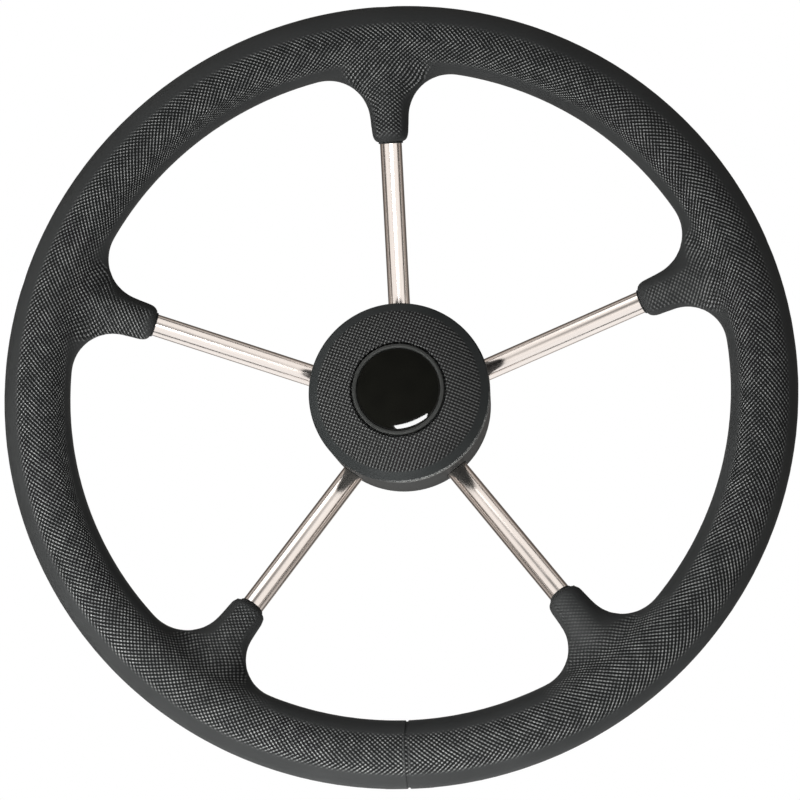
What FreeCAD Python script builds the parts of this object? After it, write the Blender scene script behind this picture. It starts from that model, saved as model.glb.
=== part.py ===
"""Boat steering wheel, 350 mm, soft grip on five stainless tube spokes.

Millimetres, +Z up. The wheel stands upright: the shaft's axis is Y, and the driver's side faces -Y.
The origin is the middle of the boss's rear face, at the mouth of the tapered shaft bore.

Each piece is drawn in a half plane of its own frame, with X as the distance from the shaft's
axis and Y as the depth. A quarter turn about Y then stands the first spoke up along +Z.
"""
import FreeCAD, Part

import math
import os

import Sketcher
from FreeCAD import Placement, Rotation, Vector

os.makedirs("parts", exist_ok=True)
doc = FreeCAD.newDocument("SteeringWheel")


# Driving sizes
SIZES = [
    # Rim: moulded grip round a tube ring
    ("rim_radius", 160.4),
    ("rim_front", 53.0),
    ("grip_radius", 14.6),
    ("ring_tube_radius", 6.0),
    ("ring_tube_wall", 1.5),
    ("bond_line", 0.05),
    ("seam_width", 0.8),
    ("seam_depth", 0.9),
    # Grip collars, where the moulding runs down each spoke
    ("collar_end", 115.7),
    ("collar_end_radius", 8.2),
    ("collar_root_radius", 11.0),
    ("collar_end_round", 3.6),
    ("collar_blend", 19.0),
    # Spokes
    ("spoke_count", 5),
    ("spoke_radius", 5.0),
    ("spoke_wall", 1.5),
    ("spoke_foot_depth", 3.0),
    ("spoke_seat", 13.0),
    ("weld_fit", 0.05),
    # Boss, bored for a standard three quarter inch tapered shaft
    ("boss_radius", 21.0),
    ("boss_shoulder", 18.0),
    ("nose_clearance", 0.4),
    ("boss_length", 27.0),
    ("boss_chamfer", 1.0),
    ("shaft_radius", 9.525),
    ("taper_rate", 24.0),
    ("keyway_width", 4.76),
    ("keyway_depth", 2.4),
    # Front cover
    ("cover_back_depth", 1.8),
    ("cover_back_radius", 40.0),
    ("cover_edge_depth", 38.1),
    ("cover_edge_radius", 40.8),
    ("cover_band_width", 4.4),
    ("cover_band_rise", 2.6),
    ("cover_crown_rise", 3.7),
    ("cover_crown_sag", 0.5),
    ("cover_edge_round", 1.6),
    ("cover_band_round", 6.0),
    ("cover_wall", 2.8),
    ("recess_radius", 21.4),
    ("recess_depth", 3.2),
    ("recess_round", 0.6),
    ("well_radius", 17.4),
    ("well_wall", 2.6),
    ("notch_clearance", 0.35),
    # Screws and the posts that they cut into
    ("screw_circle", 30.0),
    ("screw_radius", 1.5),
    ("screw_head_radius", 3.4),
    ("screw_length", 16.0),
    ("screw_slot", 0.9),
    ("screw_cross", 3.8),
    ("screw_fit", 0.05),
    ("post_radius", 3.6),
    # Rear cover
    ("rear_thickness", 2.5),
    ("rebate_wall", 1.4),
    ("cover_fit", 0.2),
    # Centre cap with its domed disc
    ("cap_radius", 20.6),
    ("cap_rim_width", 1.9),
    ("cap_rim_height", 3.9),
    ("cap_rim_round", 0.8),
    ("cap_floor", 2.2),
    ("leg_count", 4),
    ("leg_wall", 1.5),
    ("leg_length", 8.0),
    ("leg_gap", 9.0),
    ("barb_height", 2.0),
    ("barb_reach", 0.5),
    ("disc_fit", 0.1),
    ("dome_edge", 0.7),
    ("dome_rise", 1.5),
]

sheet = doc.addObject("Spreadsheet::Sheet", "Sizes")
for row, (alias, number) in enumerate(SIZES, start=1):
    sheet.set("A%d" % row, alias)
    sheet.set("B%d" % row, str(number))
    sheet.setAlias("B%d" % row, alias)
doc.recompute()


class Size:
    """A length or a number, held with the sheet formula that it comes from."""

    def __init__(self, value, formula):
        self.value = value
        self.formula = formula

    def joined(self, sign, other, value):
        text = other.formula if isinstance(other, Size) else repr(other)
        return Size(value, "(%s %s %s)" % (self.formula, sign, text))

    def __add__(self, other):
        return self.joined("+", other, self.value + number_of(other))

    def __sub__(self, other):
        return self.joined("-", other, self.value - number_of(other))

    def __mul__(self, other):
        return self.joined("*", other, self.value * number_of(other))

    def __truediv__(self, other):
        return self.joined("/", other, self.value / number_of(other))

    def __neg__(self):
        return Size(-self.value, "(0 - %s)" % self.formula)


def number_of(size):
    return size.value if isinstance(size, Size) else float(size)


def size(alias):
    """The size that the sheet holds under this name."""
    return Size(float(sheet.get(alias)), "Sizes." + alias)


class Values:
    """The sizes by name, as in s.rim_radius."""


s = Values()
for alias, number in SIZES:
    setattr(s, alias, size(alias))


# Frame of a piece
def stand_up(turns=0):
    """The quarter turn that stands the drawn spoke up, and some further spoke spacings."""
    angle = -90.0 - turns * 360.0 / s.spoke_count.value
    return Placement(Vector(0, 0, 0), Rotation(Vector(0, 1, 0), angle))


def new_body(label, turns=0):
    body = doc.addObject("PartDesign::Body", label)
    body.Label = label
    body.Placement = stand_up(turns)
    return body


def origin_plane(body, role):
    return next(item for item in body.Origin.OriginFeatures if item.Role == role)


def new_sketch(body, name, role="XY_Plane"):
    sketch = body.newObject("Sketcher::SketchObject", name)
    sketch.AttachmentSupport = [(origin_plane(body, role), "")]
    sketch.MapMode = "FlatFace"
    return sketch


def new_face_sketch(body, name, depth):
    """A sketch square to the shaft's axis, at some depth in front of the boss's rear face."""
    sketch = new_sketch(body, name, "XZ_Plane")
    sketch.setExpression("AttachmentOffset.Base.z", depth.formula)
    doc.recompute()
    return sketch


# Sketch helpers
def bind(sketch, kind, *items):
    """Adds a constraint, whose last item may be a size that it then follows."""
    last = items[-1]
    if not isinstance(last, Size):
        return sketch.addConstraint(Sketcher.Constraint(kind, *items))
    index = sketch.addConstraint(Sketcher.Constraint(kind, *items[:-1], last.value))
    sketch.setExpression("Constraints[%d]" % index, last.formula)
    return index


def place_point(sketch, geometry, end, across, along):
    """Holds a point at two distances from the sketch's origin."""
    bind(sketch, "DistanceX", -1, 1, geometry, end, across)
    bind(sketch, "DistanceY", -1, 1, geometry, end, along)


def add_outline(sketch, points, arcs=None):
    """A closed outline through points given as (distance, depth) sizes.

    Its edges are straight, except that arcs holds the radius of a bulging edge by its number.
    """
    arcs = arcs or {}
    corners = [Vector(number_of(across), number_of(along), 0) for across, along in points]
    ends = []
    for index, corner in enumerate(corners):
        following = corners[(index + 1) % len(corners)]
        if index not in arcs:
            edge = sketch.addGeometry(Part.LineSegment(corner, following), False)
            ends.append((edge, 1, 2))
            continue
        edge = sketch.addGeometry(bulging_arc(corner, following, arcs[index].value), False)
        first, last = arc_ends(sketch, edge, corner)
        ends.append((edge, first, last))
        bind(sketch, "Radius", edge, arcs[index])
    for index, (edge, first, last) in enumerate(ends):
        following, next_first, next_last = ends[(index + 1) % len(ends)]
        bind(sketch, "Coincident", edge, last, following, next_first)
    for (edge, first, last), (across, along) in zip(ends, points):
        place_point(sketch, edge, first, across, along)


def arc_ends(sketch, arc, first_point):
    """The arc's end numbers, that of the end at first_point first."""
    at_start = sketch.getPoint(arc, 1).distanceToPoint(first_point) < 1e-6
    return (1, 2) if at_start else (2, 1)


def bulging_arc(start, stop, radius):
    """The shorter arc of this radius between two points, bulging towards the wheel's front."""
    chord = stop - start
    half = chord.Length / 2
    rise = radius - math.sqrt(radius * radius - half * half)
    front = Vector(chord.y, -chord.x, 0).normalize()
    if front.y > 0:
        front = -front
    return Part.Arc(start, (start + stop) / 2 + front * rise, stop)


def add_circle(sketch, across, along, radius):
    centre = Vector(number_of(across), number_of(along), 0)
    circle = sketch.addGeometry(Part.Circle(centre, Vector(0, 0, 1), number_of(radius)), False)
    place_point(sketch, circle, 3, across, along)
    bind(sketch, "Radius", circle, radius)
    return circle


# Feature helpers
def revolve(body, sketch, name, axis="V_Axis", cut=False):
    kind = "PartDesign::Groove" if cut else "PartDesign::Revolution"
    feature = body.newObject(kind, name)
    feature.Profile = sketch
    feature.ReferenceAxis = (sketch, [axis])
    feature.Angle = 360.0
    doc.recompute()
    return feature


def revolve_one_sector(body, sketch, name):
    """The share of a full turn that belongs to one spoke, half of it to each side."""
    feature = body.newObject("PartDesign::Revolution", name)
    feature.Profile = sketch
    feature.ReferenceAxis = (sketch, ["V_Axis"])
    feature.Midplane = True
    feature.setExpression("Angle", "360 / %s" % s.spoke_count.formula)
    doc.recompute()
    return feature


def pocket_both_ways(body, sketch, name, width):
    """A cut that reaches half the width to each side of its sketch."""
    feature = body.newObject("PartDesign::Pocket", name)
    feature.Profile = sketch
    feature.SideType = "Symmetric"
    feature.setExpression("Length", width.formula)
    doc.recompute()
    return feature


def pad_up_to_wall(body, sketch, name):
    """A post that grows from its sketch until it meets the wall in front of it."""
    feature = body.newObject("PartDesign::Pad", name)
    feature.Profile = sketch
    feature.Type = "UpToFirst"
    doc.recompute()
    return feature


def pocket(body, sketch, name, depth, forwards):
    """A cut of one depth, towards the wheel's front or towards its back."""
    feature = body.newObject("PartDesign::Pocket", name)
    feature.Profile = sketch
    feature.Reversed = forwards
    feature.setExpression("Length", depth.formula)
    doc.recompute()
    return feature


def repeat_round(body, originals, name, count):
    """Copies features, or the whole shape so far if none is given, about the shaft's axis."""
    pattern = body.newObject("PartDesign::PolarPattern", name)
    if originals:
        pattern.Originals = originals
    else:
        pattern.TransformMode = "Whole shape"
        pattern.Refine = False
    pattern.Axis = (origin_plane(body, "Y_Axis"), [""])
    pattern.Angle = 360.0
    pattern.setExpression("Occurrences", count.formula)
    body.Tip = pattern
    doc.recompute()
    return pattern


def pad_both_ways(body, sketch, name, width):
    """A pad that reaches half the width to each side of its sketch."""
    feature = body.newObject("PartDesign::Pad", name)
    feature.Profile = sketch
    feature.SideType = "Symmetric"
    feature.setExpression("Length", width.formula)
    doc.recompute()
    return feature


def chamfer_edges(body, base, name, size, wanted):
    """Chamfers the edges of the base feature that the test function picks."""
    edges = ["Edge%d" % (n + 1) for n, edge in enumerate(base.Shape.Edges) if wanted(edge)]
    feature = body.newObject("PartDesign::Chamfer", name)
    feature.Base = (base, edges)
    feature.setExpression("Size", size.formula)
    doc.recompute()
    return feature


def round_edges(body, base, name, radius, wanted):
    """Rounds the edges of the base feature that the test function picks."""
    edges = ["Edge%d" % (n + 1) for n, edge in enumerate(base.Shape.Edges) if wanted(edge)]
    feature = body.newObject("PartDesign::Fillet", name)
    feature.Base = (base, edges)
    feature.setExpression("Radius", radius.formula)
    doc.recompute()
    return feature


# Where a spoke's axis runs: from a point on the shaft's axis to the middle of the rim tube
rim_depth = -s.rim_front
foot_depth = -s.spoke_foot_depth
spoke_slope = (s.rim_front - s.spoke_foot_depth) / s.rim_radius


def spoke_depth(distance):
    """Depth of the spoke's axis at a distance from the shaft's axis."""
    return foot_depth - spoke_slope * distance


slope_angle = math.atan(spoke_slope.value)
along_spoke = Vector(math.cos(slope_angle), -math.sin(slope_angle), 0)
off_spoke = Vector(math.sin(slope_angle), math.cos(slope_angle), 0)


def add_spoke_axis(sketch):
    """A construction line along the spoke, which is the sketch's Axis0."""
    foot = Vector(0, foot_depth.value, 0)
    middle = Vector(s.rim_radius.value, rim_depth.value, 0)
    axis = sketch.addGeometry(Part.LineSegment(foot, middle), True)
    place_point(sketch, axis, 1, 0.0, foot_depth)
    place_point(sketch, axis, 2, s.rim_radius, rim_depth)
    return axis


def add_spoke_rectangle(sketch, axis, start, stop, inner, outer):
    """A rectangle along the spoke's axis, from an inner to an outer radius about it.

    start and stop are distances from the shaft's axis. An inner radius of None puts one
    side on the spoke's axis.
    """
    def spot(distance, radius):
        on_axis = Vector(distance.value, spoke_depth(distance).value, 0)
        return on_axis + off_spoke * radius

    near = 0.0 if inner is None else inner.value
    corners = [spot(start, near), spot(start, outer.value), spot(stop, outer.value), spot(stop, near)]
    edges = []
    for index, corner in enumerate(corners):
        following = corners[(index + 1) % 4]
        edges.append(sketch.addGeometry(Part.LineSegment(corner, following), False))
    for index, edge in enumerate(edges):
        bind(sketch, "Coincident", edge, 2, edges[(index + 1) % 4], 1)
    bind(sketch, "Perpendicular", edges[0], axis)
    bind(sketch, "Parallel", edges[1], axis)
    bind(sketch, "Perpendicular", edges[2], axis)
    if inner is None:
        bind(sketch, "PointOnObject", edges[0], 1, axis)
        bind(sketch, "PointOnObject", edges[3], 1, axis)
    else:
        bind(sketch, "Distance", edges[0], 1, axis, inner)
        bind(sketch, "Distance", edges[3], 1, axis, inner)
    bind(sketch, "Distance", edges[0], 2, axis, outer)
    # A square-on end is placed by the point of the spoke's axis that it would pass through
    for edge, distance in ((edges[0], start), (edges[2], stop)):
        mark = sketch.addGeometry(Part.Point(spot(distance, 0.0)), True)
        bind(sketch, "DistanceX", -1, 1, mark, 1, distance)
        bind(sketch, "PointOnObject", mark, 1, axis)
        bind(sketch, "PointOnObject", mark, 1, edge)
    return edges


# Rim ring: the welded hoop of round tube inside the grip
def make_rim_ring():
    body = new_body("rim_ring")
    sketch = new_sketch(body, "RingTube")
    add_circle(sketch, s.rim_radius, rim_depth, s.ring_tube_radius)
    add_circle(sketch, s.rim_radius, rim_depth, s.ring_tube_radius - s.ring_tube_wall)
    body.Tip = revolve(body, sketch, "Hoop")
    return body


# Spokes: round tube, welded into the boss and shaped to sit on the ring
def make_spoke(turns):
    body = new_body("spoke_%d" % (turns + 1), turns)
    sketch = new_sketch(body, "TubeWall%d" % (turns + 1))
    axis = add_spoke_axis(sketch)
    inner = s.spoke_radius - s.spoke_wall
    add_spoke_rectangle(sketch, axis, s.spoke_seat, s.rim_radius, inner, s.spoke_radius)
    revolve(body, sketch, "Tube%d" % (turns + 1), "Axis0")
    saddle = new_sketch(body, "RingSaddle%d" % (turns + 1))
    add_circle(saddle, s.rim_radius, rim_depth, s.ring_tube_radius)
    body.Tip = revolve(body, saddle, "Saddle%d" % (turns + 1), cut=True)
    return body


# Grip: polyurethane moulded round the ring, with a collar down each spoke
def make_rim_grip():
    body = new_body("rim_grip")
    section = new_sketch(body, "GripSection")
    add_circle(section, s.rim_radius, rim_depth, s.grip_radius)
    revolve_one_sector(body, section, "GripSector")

    profile = new_sketch(body, "CollarSection")
    axis = add_spoke_axis(profile)
    start = Vector(s.collar_end.value, spoke_depth(s.collar_end).value, 0)
    stop = Vector(s.rim_radius.value, rim_depth.value, 0)
    start_corner = start + off_spoke * s.collar_end_radius.value
    stop_corner = stop + off_spoke * s.collar_root_radius.value
    corner_round = s.collar_end_round.value
    side_way = (stop_corner - start_corner).normalize()
    face_end = start_corner - off_spoke * corner_round
    side_start = start_corner + side_way * corner_round
    round_centre = face_end + along_spoke * corner_round
    mid_point = round_centre + (off_spoke - along_spoke).normalize() * corner_round
    face = profile.addGeometry(Part.LineSegment(start, face_end), False)
    corner = profile.addGeometry(Part.Arc(face_end, mid_point, side_start), False)
    side = profile.addGeometry(Part.LineSegment(side_start, stop_corner), False)
    root = profile.addGeometry(Part.LineSegment(stop_corner, stop), False)
    core = profile.addGeometry(Part.LineSegment(stop, start), False)
    corner_start, corner_end = arc_ends(profile, corner, face_end)
    bind(profile, "Tangent", face, 2, corner, corner_start)
    bind(profile, "Tangent", corner, corner_end, side, 1)
    bind(profile, "Coincident", side, 2, root, 1)
    bind(profile, "Coincident", root, 2, core, 1)
    bind(profile, "Coincident", core, 2, face, 1)
    bind(profile, "PointOnObject", face, 1, axis)
    bind(profile, "DistanceX", -1, 1, face, 1, s.collar_end)
    bind(profile, "Coincident", root, 2, axis, 2)
    bind(profile, "Perpendicular", face, axis)
    bind(profile, "Perpendicular", root, axis)
    bind(profile, "Radius", corner, s.collar_end_round)
    bind(profile, "Distance", root, s.collar_root_radius)
    # The side is placed by where it would meet the end face if the corner weren't rounded
    mark = profile.addGeometry(Part.Point(start_corner), True)
    bind(profile, "PointOnObject", mark, 1, side)
    bind(profile, "PointOnObject", mark, 1, face)
    bind(profile, "Distance", mark, 1, axis, s.collar_end_radius)
    collar = revolve(body, profile, "Collar", "Axis0")

    inner_rim = s.rim_radius.value - s.grip_radius.value

    def meets_rim(edge):
        middle = edge.valueAt((edge.FirstParameter + edge.LastParameter) / 2)
        reach = math.hypot(middle.x, middle.z)
        plain = edge.Curve.TypeId in ("Part::GeomCircle", "Part::GeomLine")
        return not plain and inner_rim - s.grip_radius.value < reach < s.rim_radius.value

    round_edges(body, collar, "CollarBlend", s.collar_blend, meets_rim)

    channel = new_sketch(body, "RingChannel")
    add_circle(channel, s.rim_radius, rim_depth, s.ring_tube_radius + s.bond_line)
    revolve(body, channel, "RingBed", cut=True)

    socket = new_sketch(body, "SpokeChannel")
    axis = add_spoke_axis(socket)
    reach_in = s.collar_end - s.collar_end_radius
    add_spoke_rectangle(socket, axis, reach_in, s.rim_radius, None, s.spoke_radius + s.bond_line)
    revolve(body, socket, "SpokeBed", "Axis0", cut=True)
    repeat_round(body, None, "GripSectors", s.spoke_count)

    line = new_sketch(body, "SeamLine")
    add_circle(line, -s.rim_radius, rim_depth, s.grip_radius + s.seam_depth)
    add_circle(line, -s.rim_radius, rim_depth, s.grip_radius - s.seam_depth)
    body.Tip = pocket_both_ways(body, line, "Seam", s.seam_width)
    return body


# Boss: turned, with the tapered shaft bore, its keyway and a blind socket for each spoke
def make_hub_boss():
    body = new_body("hub_boss")
    profile = new_sketch(body, "BossSection")
    nose_radius = s.well_radius - s.nose_clearance
    bore_at_nose = s.shaft_radius - s.boss_length / s.taper_rate
    add_outline(profile, [
        (s.shaft_radius, 0.0),
        (s.boss_radius, 0.0),
        (s.boss_radius, -s.boss_shoulder),
        (nose_radius, -s.boss_shoulder),
        (nose_radius, -s.boss_length),
        (bore_at_nose, -s.boss_length),
    ])
    turned = revolve(body, profile, "Turned")

    def outer_corner(edge):
        wide = edge.Curve.TypeId == "Part::GeomCircle" and edge.Curve.Radius > nose_radius.value - 0.01
        depth = -edge.BoundBox.Center.y
        return wide and not abs(depth - s.boss_shoulder.value) < 0.01

    chamfer_edges(body, turned, "TurnedCorners", s.boss_chamfer, outer_corner)

    socket = new_sketch(body, "SocketSection")
    axis = add_spoke_axis(socket)
    clear_of_boss = s.boss_radius + s.spoke_radius * 2.0
    add_spoke_rectangle(socket, axis, s.spoke_seat, clear_of_boss, None, s.spoke_radius + s.weld_fit)
    bored = revolve(body, socket, "Socket", "Axis0", cut=True)
    repeat_round(body, [bored], "Sockets", s.spoke_count)

    slot = new_sketch(body, "KeywaySlot", "XZ_Plane")
    half_key = s.keyway_width / 2.0
    slot_bottom = -(s.shaft_radius + s.keyway_depth)
    add_outline(slot, [
        (slot_bottom, -half_key),
        (0.0, -half_key),
        (0.0, half_key),
        (slot_bottom, half_key),
    ])
    body.Tip = pocket_both_ways(body, slot, "Keyway", s.boss_length * 3.0)
    return body


# Depths that the covers and the cap share
rebate_floor = s.cover_back_depth + s.rear_thickness
face_edge_radius = s.cover_edge_radius - s.cover_band_width
face_edge_depth = s.cover_edge_depth + s.cover_band_rise
crown_depth = face_edge_depth + s.cover_crown_rise
recess_floor = crown_depth - s.recess_depth
post_hole = s.screw_radius + s.screw_fit
leg_radius = s.well_radius - s.cover_fit
leg_end = recess_floor - s.leg_length


def arc_radius(width, height, sag):
    """Radius of the arc that rises by the sag over a chord of this width and height."""
    return (width * width + height * height) / (sag * 8.0) + sag / 2.0


# Front cover: moulded cup with a crowned face, a recess for the cap and a well for the shaft nut
def make_hub_cover():
    body = new_body("hub_cover")
    profile = new_sketch(body, "CoverSection")
    underside = recess_floor - s.cover_wall
    points = [
        (s.cover_back_radius, -s.cover_back_depth),
        (s.cover_edge_radius, -s.cover_edge_depth),
        (face_edge_radius, -face_edge_depth),
        (s.recess_radius, -crown_depth),
        (s.recess_radius, -recess_floor),
        (s.well_radius, -recess_floor),
        (s.well_radius, -s.boss_shoulder),
        (s.well_radius + s.well_wall, -s.boss_shoulder),
        (s.well_radius + s.well_wall, -underside),
        (s.recess_radius + s.cover_wall, -underside),
        (s.recess_radius + s.cover_wall, s.cover_wall + s.cover_crown_sag - crown_depth),
        (face_edge_radius - s.cover_wall / 2.0, s.cover_wall - face_edge_depth),
        (s.cover_edge_radius - s.cover_wall, s.cover_wall / 2.0 - s.cover_edge_depth),
        (s.cover_back_radius - s.cover_wall, -rebate_floor),
        (s.cover_back_radius - s.rebate_wall, -rebate_floor),
        (s.cover_back_radius - s.rebate_wall, -s.cover_back_depth),
    ]
    crown_width = face_edge_radius - s.recess_radius
    crown_arc = arc_radius(crown_width, s.cover_crown_rise, s.cover_crown_sag)
    add_outline(profile, points, {2: crown_arc})
    shell = revolve(body, profile, "Shell")

    def edge_at(radius, depth):
        def wanted(edge):
            middle = edge.BoundBox.Center
            round_one = edge.Curve.TypeId == "Part::GeomCircle"
            return (round_one and abs(edge.Curve.Radius - radius.value) < 0.01
                    and abs(middle.y + depth.value) < 0.01)
        return wanted

    band = round_edges(body, shell, "BandRound", s.cover_band_round,
                       edge_at(face_edge_radius, face_edge_depth))
    edge = round_edges(body, band, "EdgeRound", s.cover_edge_round,
                       edge_at(s.cover_edge_radius, s.cover_edge_depth))
    round_edges(body, edge, "RecessRound", s.recess_round,
                edge_at(s.recess_radius, crown_depth))

    barb_groove = new_sketch(body, "BarbGroove")
    groove_bottom = s.well_radius + s.barb_reach
    add_outline(barb_groove, [
        (s.well_radius - s.barb_reach, -leg_end),
        (groove_bottom, -leg_end),
        (groove_bottom, -(leg_end + s.barb_height + s.cover_fit)),
        (s.well_radius - s.barb_reach, -(leg_end + s.barb_height + s.cover_fit)),
    ])
    revolve(body, barb_groove, "BarbSeat", cut=True)

    post = new_face_sketch(body, "PostSection", rebate_floor)
    add_circle(post, -s.screw_circle, 0.0, s.post_radius)
    grown = pad_up_to_wall(body, post, "Post")
    repeat_round(body, [grown], "Posts", s.spoke_count)
    hole = new_face_sketch(body, "PostHole", rebate_floor)
    add_circle(hole, -s.screw_circle, 0.0, post_hole)
    bored = pocket(body, hole, "Pilot", s.screw_length, forwards=True)
    repeat_round(body, [bored], "Pilots", s.spoke_count)

    cut_spoke_notches(body, s.spoke_radius + s.notch_clearance)
    return body


def spoke_slot_outline(sketch, inner, outer, back):
    """The side view of the space between a spoke's axis and the cover's back edge."""
    add_outline(sketch, [
        (inner, -back),
        (outer, -back),
        (outer, spoke_depth(outer)),
        (inner, spoke_depth(inner)),
    ])


def cut_spoke_notches(body, radius):
    """Notches open at the back edge, with round ends that lie along the spokes."""
    inner = s.cover_back_radius - s.cover_wall * 2.0
    outer = s.cover_edge_radius + s.cover_wall
    round_end = new_sketch(body, "NotchRound")
    axis = add_spoke_axis(round_end)
    add_spoke_rectangle(round_end, axis, inner, outer, None, radius)
    rounded = revolve(body, round_end, "NotchEnd", "Axis0", cut=True)
    slot = new_sketch(body, "NotchSlot")
    spoke_slot_outline(slot, inner, outer, s.cover_back_depth - s.cover_wall)
    opened = pocket_both_ways(body, slot, "NotchMouth", radius * 2.0)
    repeat_round(body, [rounded, opened], "Notches", s.spoke_count)


# Rear cover: a disc in the front cover's rebate, with a saddle that fills each notch
def make_rear_cover():
    body = new_body("rear_cover")
    profile = new_sketch(body, "DiscSection")
    hole_radius = s.boss_radius + s.cover_fit
    disc_radius = s.cover_back_radius - s.rebate_wall - s.cover_fit
    add_outline(profile, [
        (hole_radius, -s.cover_back_depth),
        (disc_radius, -s.cover_back_depth),
        (disc_radius, -rebate_floor),
        (hole_radius, -rebate_floor),
    ])
    revolve(body, profile, "Disc")

    tab = new_sketch(body, "SaddleTab")
    inner = s.cover_back_radius - s.cover_wall * 2.0
    outer = s.cover_edge_radius + s.cover_wall
    spoke_slot_outline(tab, inner, outer, s.cover_back_depth)
    width = (s.spoke_radius + s.notch_clearance - s.cover_fit) * 2.0
    grown = pad_both_ways(body, tab, "Tab", width)
    trim = new_sketch(body, "TabTrim")
    add_outline(trim, [
        (s.cover_back_radius, -s.cover_back_depth),
        (outer * 2.0, -s.cover_back_depth),
        (outer * 2.0, -s.cover_edge_depth),
        (s.cover_edge_radius, -s.cover_edge_depth),
    ])
    repeat_round(body, [grown], "Tabs", s.spoke_count)
    revolve(body, trim, "TabsFlush", cut=True)

    saddle = new_sketch(body, "SaddleSection")
    axis = add_spoke_axis(saddle)
    clear_out = outer + s.cover_wall
    add_spoke_rectangle(saddle, axis, s.boss_radius, clear_out, None, s.spoke_radius + s.screw_fit)
    bed = revolve(body, saddle, "Saddle", "Axis0", cut=True)
    repeat_round(body, [bed], "Saddles", s.spoke_count)

    sink = new_sketch(body, "SinkSection")
    add_screw_axis(sink)
    add_screw_outline(sink, rebate_floor + s.rear_thickness, s.screw_fit)
    sunk = revolve(body, sink, "Sink", "Axis0", cut=True)
    body.Tip = repeat_round(body, [sunk], "Sinks", s.spoke_count)
    return body


# Cover screws, countersunk, one between each two spokes
def add_screw_axis(sketch):
    front = Vector(-s.screw_circle.value, -s.cover_edge_depth.value, 0)
    axis = sketch.addGeometry(Part.LineSegment(Vector(-s.screw_circle.value, 0, 0), front), True)
    place_point(sketch, axis, 1, -s.screw_circle, 0.0)
    place_point(sketch, axis, 2, -s.screw_circle, -s.cover_edge_depth)
    return axis


def add_screw_outline(sketch, tip_depth, fit):
    """Half of a countersunk screw, from the head's flat top to its tip."""
    middle = -s.screw_circle
    shank = s.screw_radius + fit
    head = s.screw_head_radius + fit
    cone_end = s.cover_back_depth + s.screw_head_radius - s.screw_radius
    add_outline(sketch, [
        (middle, -s.cover_back_depth),
        (middle - head, -s.cover_back_depth),
        (middle - shank, -cone_end),
        (middle - shank, -tip_depth),
        (middle, -tip_depth),
    ])


def make_cover_screws():
    body = new_body("cover_screws")
    body.AllowCompound = True
    profile = new_sketch(body, "ScrewSection")
    add_screw_axis(profile)
    tip_depth = s.cover_back_depth + s.screw_length
    add_screw_outline(profile, tip_depth, 0.0)
    turned = revolve(body, profile, "Screw", "Axis0")
    drive = new_face_sketch(body, "Drive", s.cover_back_depth)
    half_slot = s.screw_slot / 2.0
    half_cross = s.screw_cross / 2.0
    add_outline(drive, [
        (-s.screw_circle - half_cross, -half_slot),
        (-s.screw_circle - half_slot, -half_slot),
        (-s.screw_circle - half_slot, -half_cross),
        (-s.screw_circle + half_slot, -half_cross),
        (-s.screw_circle + half_slot, -half_slot),
        (-s.screw_circle + half_cross, -half_slot),
        (-s.screw_circle + half_cross, half_slot),
        (-s.screw_circle + half_slot, half_slot),
        (-s.screw_circle + half_slot, half_cross),
        (-s.screw_circle - half_slot, half_cross),
        (-s.screw_circle - half_slot, half_slot),
        (-s.screw_circle - half_cross, half_slot),
    ])
    cross = pocket(body, drive, "Cross", s.screw_radius, forwards=True)
    body.Tip = repeat_round(body, [turned, cross], "Screws", s.spoke_count)
    return body


# Centre cap: a shallow dish with four snap legs, over the shaft nut
def make_centre_cap():
    body = new_body("centre_cap")
    profile = new_sketch(body, "CapSection")
    inner_leg = leg_radius - s.leg_wall
    rim_inside = s.cap_radius - s.cap_rim_width
    rim_top = recess_floor + s.cap_rim_height
    dish = recess_floor + s.cap_floor
    add_outline(profile, [
        (0.0, -recess_floor),
        (inner_leg, -recess_floor),
        (inner_leg, -leg_end),
        (leg_radius, -leg_end),
        (leg_radius + s.barb_reach, -(leg_end + s.barb_height / 2.0)),
        (leg_radius + s.barb_reach, -(leg_end + s.barb_height)),
        (leg_radius, -(leg_end + s.barb_height)),
        (leg_radius, -recess_floor),
        (s.cap_radius, -recess_floor),
        (s.cap_radius, -rim_top),
        (rim_inside, -rim_top),
        (rim_inside, -dish),
        (0.0, -dish),
    ])
    dish_body = revolve(body, profile, "Dish")

    def rim_corner(edge):
        return edge.Curve.TypeId == "Part::GeomCircle" and abs(edge.BoundBox.Center.y + rim_top.value) < 0.01

    round_edges(body, dish_body, "RimRound", s.cap_rim_round, rim_corner)
    gap = new_face_sketch(body, "LegGap", recess_floor)
    half_gap = s.leg_gap / 2.0
    add_outline(gap, [
        (0.0, -half_gap),
        (s.cap_radius, -half_gap),
        (s.cap_radius, half_gap),
        (0.0, half_gap),
    ])
    opened = pocket(body, gap, "Gap", s.leg_length * 2.0, forwards=False)
    body.Tip = repeat_round(body, [opened], "Gaps", s.leg_count)
    return body


# Domed disc: clear resin cast over black, bonded into the cap's dish
def make_cap_dome():
    body = new_body("cap_dome")
    profile = new_sketch(body, "DomeSection")
    dish = recess_floor + s.cap_floor
    disc_radius = s.cap_radius - s.cap_rim_width - s.disc_fit
    edge_top = dish + s.dome_edge
    crown_radius = disc_radius * disc_radius / (s.dome_rise * 2.0) + s.dome_rise / 2.0
    add_outline(profile, [
        (0.0, -dish),
        (disc_radius, -dish),
        (disc_radius, -edge_top),
        (0.0, -(edge_top + s.dome_rise)),
    ], {2: crown_radius})
    body.Tip = revolve(body, profile, "Dome")
    return body


make_rim_grip()
make_rim_ring()
for turns in range(int(s.spoke_count.value)):
    make_spoke(turns)
make_hub_boss()
make_hub_cover()
make_rear_cover()
make_cover_screws()
make_centre_cap()
make_cap_dome()
doc.recompute()

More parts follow.
